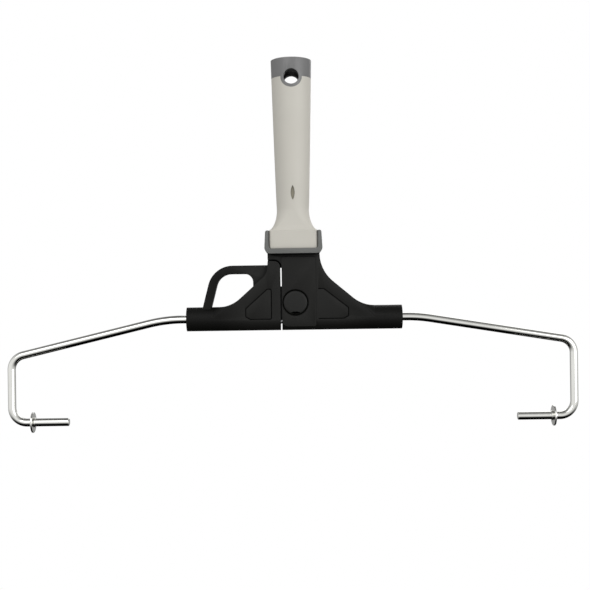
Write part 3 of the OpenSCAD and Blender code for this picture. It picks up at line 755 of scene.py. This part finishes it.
@dataclass
class Arm:
    """One bent rod with its spindle, its stop washer and the rings that hold the washer."""

    side: Side
    slope_deg: float
    body: str
    washer_body: str
    sleeve_bend_r: float = 130 * MM
    corner_r: float = 13 * MM
    spindle_len: float = 31 * MM
    tip_chamfer: float = 0.6 * MM
    sleeve_run: float = 4 * MM
    rod_grip: float = 39 * MM

    def prefix(self) -> str:
        """Returns the side's name as the nodes write it."""
        return self.side.name.lower()

    def path(self) -> tuple[list[Vector], list[float], list[float], float]:
        """Works the rod's path out from the frame.

        Returns:
            The path's corners, each corner's bend radius, each corner's share of full thickness and
            the rod's radius.
        """
        sign = self.side.value
        low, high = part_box(self.prefix() + "_rod")
        radius = (high.y - low.y) / 2
        axis_z, spindle_z = high.z - radius, low.z + radius
        leg = max(abs(low.x), abs(high.x)) - radius
        shell_low, shell_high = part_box("slider_front" if self.side is Side.LEFT else "body_front")
        sleeve_end = max(abs(shell_low.x), abs(shell_high.x))
        slope = math.radians(self.slope_deg)
        first = sleeve_end + self.sleeve_run + self.sleeve_bend_r * math.tan(slope / 2)
        corner_z = axis_z - (leg - first) * math.tan(slope)
        washer_low, washer_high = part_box(self.prefix() + "_washer")
        washer = min(abs(washer_low.x), abs(washer_high.x))
        tip = washer - self.spindle_len
        spots = [
            (sleeve_end - self.rod_grip, axis_z), (first, axis_z), (leg, corner_z), (leg, spindle_z),
            (tip + self.tip_chamfer, spindle_z), (tip, spindle_z),
        ]
        bends = [0.0, self.sleeve_bend_r, self.corner_r, self.corner_r, 0.0, 0.0]
        girth = [1.0, 1.0, 1.0, 1.0, 1.0, 0.83]
        return [Vector((sign * x, 0, z)) for x, z in spots], bends, girth, radius

    @staticmethod
    def tree() -> bpy.types.NodeTree:
        """Builds the tree that fillets a path and sweeps a round rod along it."""
        tree, source, out = node_group("bent_rod", {
            "Rod radius": "NodeSocketFloat", "Finish": "NodeSocketMaterial",
        })
        bend = add(tree, "GeometryNodeInputNamedAttribute", {"data_type": "FLOAT", "Name": "bend"})
        girth = add(tree, "GeometryNodeInputNamedAttribute", {"data_type": "FLOAT", "Name": "girth"})
        curve = add(tree, "GeometryNodeMeshToCurve", links={0: source.outputs[0]})
        fillet = add(tree, "GeometryNodeFilletCurve", {"mode": "POLY", "Count": 28},
                     {"Curve": curve.outputs[0], "Radius": bend.outputs[0]})
        sized = add(tree, "GeometryNodeSetCurveRadius",
                    links={"Curve": fillet.outputs[0], "Radius": girth.outputs[0]})
        section = add(tree, "GeometryNodeCurvePrimitiveCircle", {"Resolution": 48},
                      {"Radius": source.outputs["Rod radius"]})
        tube = add(tree, "GeometryNodeCurveToMesh", {"Fill Caps": True},
                   {"Curve": sized.outputs[0], "Profile Curve": section.outputs[0]})
        if "Scale" in tube.inputs:
            tree.links.new(girth.outputs[0], tube.inputs["Scale"])
        end_tree(tree, out, tube.outputs[0], source.outputs["Finish"])
        return tree

    def build_rod(self) -> None:
        """Builds the rod."""
        spots, bends, girth, radius = self.path()
        mesh = bpy.data.meshes.new(self.prefix() + "_arm")
        mesh.from_pydata(spots, [(i, i + 1) for i in range(len(spots) - 1)], [])
        for label, values in (("bend", bends), ("girth", girth)):
            mesh.attributes.new(label, "FLOAT", "POINT").data.foreach_set("value", values)
        obj = link_mesh(self.prefix() + "_arm", mesh)
        run_tree(obj, self.tree(), {"Rod radius": radius, "Finish": PALETTE.get(CHROME)})
        bm = bmesh.new()
        bm.from_mesh(obj.data)
        bmesh.ops.recalc_face_normals(bm, faces=bm.faces)
        bm.to_mesh(obj.data)
        bm.free()
        smooth_by_angle(obj, 25)
        dress(obj, CHROME, self.body, "rod", self.prefix() + "_rod")

    def build_washer(self) -> None:
        """Builds the washer with its stamped, rounded rim."""
        node = self.prefix() + "_washer"
        low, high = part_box(node)
        centre = (low + high) / 2
        half_t, outer = (high.x - low.x) / 2, (high.z - low.z) / 2
        bore = 3.56 * MM
        obj = lathe(self.prefix() + "_washer_disc", rounded_profile(bore, outer, -half_t, half_t, 0.35 * MM),
                    centre, Axis.X)
        dress(obj, CHROME, self.washer_body, "rod", node)

    def build_rings(self) -> None:
        """Builds the two push-on rings beside the washer."""
        node = self.prefix() + "_stop_rings"
        low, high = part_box(node)
        centre_z, outer = (low.z + high.z) / 2, (high.z - low.z) / 2
        length = 1.2 * MM
        for label, start in (("near", low.x), ("far", high.x - length)):
            obj = lathe(f"{self.prefix()}_ring_{label}",
                        rounded_profile(3.5 * MM, outer, 0, length, 0.3 * MM), Vector((start, 0, centre_z)), Axis.X)
            dress(obj, CHROME, self.body, "rod", node)

    def build(self) -> None:
        """Builds the whole arm."""
        self.build_rod()
        self.build_washer()
        self.build_rings()


# ---------------------------------------------------------------- yoke


@dataclass
class Yoke:
    """The two shells of the body, the two of the left half, and what closes them."""

    shell_edge_mm: float = 0.45
    bumper_edge_mm: float = 0.8

    def build(self) -> None:
        """Builds the shells, the bumper, the button and the screws."""
        for node in ("body_front", "body_rear"):
            SoftenedMoulding(node, YOKE, FRAME_BODY, "yoke", self.shell_edge_mm).build()
        for node in ("slider_front", "slider_rear"):
            SoftenedMoulding(node, YOKE, LEFT_BODY, "yoke", self.shell_edge_mm).build()
        SoftenedMoulding("collar_bumper", BUMPER, FRAME_BODY, "bumper", self.bumper_edge_mm, 3, 25).build()
        self.build_button()
        ScrewSet("body_screws", FRAME_BODY).build()
        ScrewSet("slider_screws", LEFT_BODY).build()

    def build_button(self) -> None:
        """Builds the push button with its crowned face, its rim and its nail mark."""
        low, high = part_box("lock_button")
        centre = Vector(((low.x + high.x) / 2, low.y, (low.z + high.z) / 2))
        radius = (high.x - low.x) / 2
        cap_len, stem_r, length = 4.8 * MM, 2.0 * MM, high.y - low.y
        edge = 1.3 * MM
        crown = [(radius * 0.86 * i / 6, 0.1 * MM + 0.25 * MM * (i / 6) ** 2) for i in range(1, 7)]
        rim = [(radius - edge + edge * math.sin(a), 0.45 * MM + edge - edge * math.cos(a))
               for a in (math.pi / 2 * i / 6 for i in range(1, 7))]
        body = [(radius, cap_len), (stem_r, cap_len), (stem_r, length), (0.0, length)]
        obj = lathe("lock_button_cap", [(0.0, 0.1 * MM)] + crown + rim + body, centre, Axis.Y, 120)
        notch = bmesh.new()
        bmesh.ops.create_cube(notch, size=1.0)
        bmesh.ops.bevel(notch, geom=notch.edges, offset=0.2, segments=3, affect="EDGES")
        bmesh.ops.scale(notch, vec=(7.4 * MM, 5.6 * MM, 1.9 * MM), verts=notch.verts)
        bmesh.ops.translate(notch, vec=centre + Vector((0, 0.2 * MM, 1.9 * MM - radius)), verts=notch.verts)
        boolean_cut(obj, mesh_from("nail_mark_cutter", notch))
        smooth_by_angle(obj, 30)
        dress(obj, BUTTON, BUTTON_BODY, "button", "lock_button")


@dataclass
class ScrewSet:
    """Shell screws with pan heads and a cross recess, placed by Geometry Nodes."""

    node: str
    body: str
    head_d: float = 5.6 * MM
    head_h: float = 2.0 * MM
    shank_d: float = 3.0 * MM

    def spots(self) -> list[Vector]:
        """Returns the middle of each screw's head, found from the CAD node's separate solids."""
        bm = bmesh.new()
        bm.from_mesh(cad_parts[self.node].data)
        bmesh.ops.remove_doubles(bm, verts=bm.verts, dist=2e-6)
        seen: set[int] = set()
        spots = []
        for start in bm.verts:
            if start.index in seen:
                continue
            stack, island = [start], []
            seen.add(start.index)
            while stack:
                vert = stack.pop()
                island.append(vert.co.copy())
                for edge in vert.link_edges:
                    other = edge.other_vert(vert)
                    if other.index not in seen:
                        seen.add(other.index)
                        stack.append(other)
            xs, zs = [p.x for p in island], [p.z for p in island]
            spots.append(Vector(((min(xs) + max(xs)) / 2, max(p.y for p in island), (min(zs) + max(zs)) / 2)))
        bm.free()
        return spots

    def one_screw(self) -> bpy.types.Object:
        """Makes one screw with its head's top at the origin, pointing along -Y."""
        low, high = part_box(self.node)
        length = high.y - low.y
        head_r, dome = self.head_d / 2, 0.7 * MM
        top = [(head_r * math.sin(a), -dome * (1 - math.cos(a))) for a in (math.pi / 2 * i / 8 for i in range(9))]
        rest = [(head_r, -self.head_h), (self.shank_d / 2, -self.head_h), (self.shank_d / 2, 1 * MM - length),
                (0.0, -length)]
        obj = lathe(self.node + "_pattern", top + rest, Vector((0, 0, 0)), Axis.Y, 40)
        for turn in (0.0, math.pi / 2):
            bar = bmesh.new()
            bmesh.ops.create_cube(bar, size=1.0)
            bmesh.ops.scale(bar, vec=(3.0 * MM, 2.2 * MM, 0.75 * MM), verts=bar.verts)
            bmesh.ops.rotate(bar, cent=(0, 0, 0), matrix=Matrix.Rotation(turn, 3, "Y"), verts=bar.verts)
            boolean_cut(obj, mesh_from("recess_cutter", bar))
        smooth_by_angle(obj, 35)
        return obj

    def build(self) -> None:
        """Builds all the screws of the node as one piece."""
        pattern = self.one_screw()
        tree, source, out = node_group("place_" + self.node, {
            "Screw": "NodeSocketObject", "Finish": "NodeSocketMaterial",
        })
        info = add(tree, "GeometryNodeObjectInfo", links={"Object": source.outputs["Screw"]})
        placed = add(tree, "GeometryNodeInstanceOnPoints",
                     links={"Points": source.outputs[0], "Instance": info.outputs["Geometry"]})
        end_tree(tree, out, placed.outputs[0], source.outputs["Finish"])
        mesh = bpy.data.meshes.new(self.node + "_set")
        mesh.from_pydata(self.spots(), [], [])
        obj = link_mesh(self.node + "_set", mesh)
        run_tree(obj, tree, {"Screw": pattern, "Finish": PALETTE.get(ZINC)})
        bpy.data.objects.remove(pattern)
        dress(obj, ZINC, self.body, "steel", self.node)


@dataclass
class Works:
    """The pieces inside the yoke: springs wound by Geometry Nodes, and CAD pieces that only need a finish."""

    def build(self) -> None:
        """Builds the springs and dresses the CAD pieces."""
        low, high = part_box("closing_spring")
        wire = 0.8 * MM
        spring = Coil("closing_spring_wire", (high.z - low.z - wire) / 2, wire, 11, high.x - low.x - wire).build(
            Vector((low.x + wire / 2, (low.y + high.y) / 2, (low.z + high.z) / 2)), Axis.X, ZINC, FRAME_BODY,
            "steel", "closing_spring")
        self.shorten(spring, "pull_out", Axis.X, low, high.x - low.x)
        low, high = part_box("button_spring")
        wire = 0.7 * MM
        spring = Coil("button_spring_wire", (high.x - low.x - wire) / 2, wire, 4, high.y - low.y - wire).build(
            Vector(((low.x + high.x) / 2, low.y + wire / 2, (low.z + high.z) / 2)), Axis.Y, ZINC, FRAME_BODY,
            "steel", "button_spring")
        self.shorten(spring, "button_press", Axis.Y, high, high.y - low.y)
        finishes = {
            "handle_core": CAP, "pole_socket": CAP, "handle_pin": ZINC, "guide_block": BLOCK, "guide_tongue": TONGUE,
            "guide_rod": ZINC, "spring_cup": ZINC, "retaining_clip": ZINC, "left_rod_pins": ZINC,
            "right_rod_pins": ZINC, "brake_pad": PAD, "pad_screw": ZINC,
        }
        for node, finish in finishes.items():
            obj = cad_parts[node]
            obj.data.materials.clear()
            obj.data.materials.append(PALETTE.get(finish))

    @staticmethod
    def shorten(spring: bpy.types.Object, joint: str, axis: Axis, seat: Vector, length: float) -> None:
        """Gives a spring its own copy of its mesh; it does not make the spring shorten.

        Args:
            spring: the wound spring.
            joint: the joint that squeezes it; not used.
            axis: the axis it shortens along; not used.
            seat: a point on its fixed end; not used.
            length: its length at rest; not used.
        """
        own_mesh(spring)


# ---------------------------------------------------------------- studio


@dataclass
class Studio:
    """A plain pale floor, plain soft light and the camera."""

    lens_mm: float = 64.6
    distance: float = 0.931
    height: float = -0.1892
    side: float = 0.0008
    roll_deg: float = 0.8
    soft_light: float = 0.7
    front_share: float = 1.25
    rear_share: float = 0.5
    floor_drop: float = 0.06
    image_px: int = 590

    def build_camera(self) -> None:
        """Builds the camera."""
        data = bpy.data.cameras.new("camera")
        data.lens = self.lens_mm
        data.sensor_width = 36.0
        data.clip_end = 20.0
        camera = bpy.data.objects.new("camera", data)
        bpy.context.scene.collection.objects.link(camera)
        level = Matrix.Rotation(math.pi / 2, 4, "X")
        roll = Matrix.Rotation(math.radians(-self.roll_deg), 4, "Z")
        camera.matrix_world = Matrix.Translation((self.side, -self.distance, self.height)) @ level @ roll
        bpy.context.scene.camera = camera

    def build_floor(self) -> None:
        """Builds the floor under the hanging tool."""
        low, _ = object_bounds()
        half = 3.0
        z = low[2] - self.floor_drop
        mesh = bpy.data.meshes.new("floor")
        mesh.from_pydata([(-half, -half, z), (half, -half, z), (half, half, z), (-half, half, z)], [], [(0, 1, 2, 3)])
        floor = link_mesh("floor", mesh)
        material, tree, out = blank_material("painted_board_white")
        lit = add(tree, "ShaderNodeBsdfDiffuse", {"Color": srgb("#F4F4F3")})
        bright = add(tree, "ShaderNodeEmission", {"Color": srgb("#FFFFFF"), "Strength": 1.0})
        rays = add(tree, "ShaderNodeLightPath")
        mixed = add(tree, "ShaderNodeMixShader",
                    links={0: rays.outputs["Is Camera Ray"], 1: lit.outputs[0], 2: bright.outputs[0]})
        tree.links.new(mixed.outputs[0], out.inputs[0])
        mesh.materials.append(material)
        floor.visible_glossy = False
        floor.visible_diffuse = False
        floor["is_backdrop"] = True

    def build_world(self) -> None:
        """Builds the world: white to the camera, a banded studio to reflections, even light to the rest."""
        world = bpy.data.worlds.new("studio")
        bpy.context.scene.world = world
        world.use_nodes = True
        tree = world.node_tree
        tree.nodes.clear()
        out = tree.nodes.new("ShaderNodeOutputWorld")
        place = add(tree, "ShaderNodeTexCoord")
        parts = add(tree, "ShaderNodeSeparateXYZ", links={0: place.outputs["Generated"]})
        height = add(tree, "ShaderNodeMapRange", {1: -1.0, 2: 1.0}, {0: parts.outputs["Z"]})
        bands = add(tree, "ShaderNodeValToRGB", links={0: height.outputs[0]})
        stops = [(0.0, 0.0), (0.14, 0.0), (0.23, 0.12), (0.33, 0.5), (0.46, 0.82), (0.68, 0.8), (0.88, 0.42), (1.0, 0.1)]
        ramp = bands.color_ramp
        while len(ramp.elements) < len(stops):
            ramp.elements.new(0.5)
        for element, (at, level) in zip(ramp.elements, stops):
            element.position = at
            element.color = (level, level, level, 1.0)
        rear = add(tree, "ShaderNodeMapRange", {1: -0.05, 2: 0.6, 3: self.front_share, 4: self.rear_share}, {0: parts.outputs["Y"]})
        rays = add(tree, "ShaderNodeLightPath")
        soft = add(tree, "ShaderNodeMapRange", {1: -0.7, 2: 0.25, 3: 0.4, 4: self.soft_light}, {0: parts.outputs["Z"]})
        even = add(tree, "ShaderNodeBackground", {"Color": srgb("#FFFFFF")}, {"Strength": soft.outputs[0]})
        banded = add(tree, "ShaderNodeBackground", links={"Color": bands.outputs["Color"], "Strength": rear.outputs[0]})
        white = add(tree, "ShaderNodeBackground", {"Color": srgb("#FFFFFF"), "Strength": 1.0})
        first = add(tree, "ShaderNodeMixShader",
                    links={0: rays.outputs["Is Glossy Ray"], 1: even.outputs[0], 2: banded.outputs[0]})
        second = add(tree, "ShaderNodeMixShader",
                     links={0: rays.outputs["Is Camera Ray"], 1: first.outputs[0], 2: white.outputs[0]})
        tree.links.new(second.outputs[0], out.inputs[0])

    @staticmethod
    def area_light(name: str, spot: tuple, target: tuple, size: float, watts: float) -> None:
        """Adds a square soft light that points at a target.

        Args:
            name: the light's name.
            spot: where it stands.
            target: what it points at.
            size: the length of its sides.
            watts: its power.
        """
        data = bpy.data.lights.new(name, "AREA")
        data.size = size
        data.energy = watts
        lamp = bpy.data.objects.new(name, data)
        bpy.context.scene.collection.objects.link(lamp)
        lamp.location = spot
        lamp.rotation_euler = (Vector(target) - Vector(spot)).to_track_quat("-Z", "Y").to_euler()

    def build(self) -> None:
        """Builds the camera, the floor, the world and the lamps."""
        self.build_camera()
        self.build_floor()
        self.build_world()
        self.area_light("key", (-0.7, -1.5, 0.8), (0, 0, -0.15), 1.2, 9)
        self.area_light("fill", (1.2, -1.3, 0.1), (0, 0, -0.15), 1.2, 12)
        self.area_light("rear", (0.4, 1.6, 0.7), (0, 0, -0.15), 1.4, 9)
        bpy.context.scene.view_settings.view_transform = "Standard"


def main() -> None:
    """Builds the studio and every sub-assembly, and reports each piece."""
    logging.basicConfig(level=logging.INFO, format="%(name)s: %(message)s")
    Studio().build()
    Handle().build()
    Yoke().build()
    Arm(Side.LEFT, 13.2, LEFT_BODY, "left_stop_washer").build()
    Arm(Side.RIGHT, 9.4, FRAME_BODY, "right_stop_washer").build()
    Works().build()


if __name__ == "__main__":
    main()
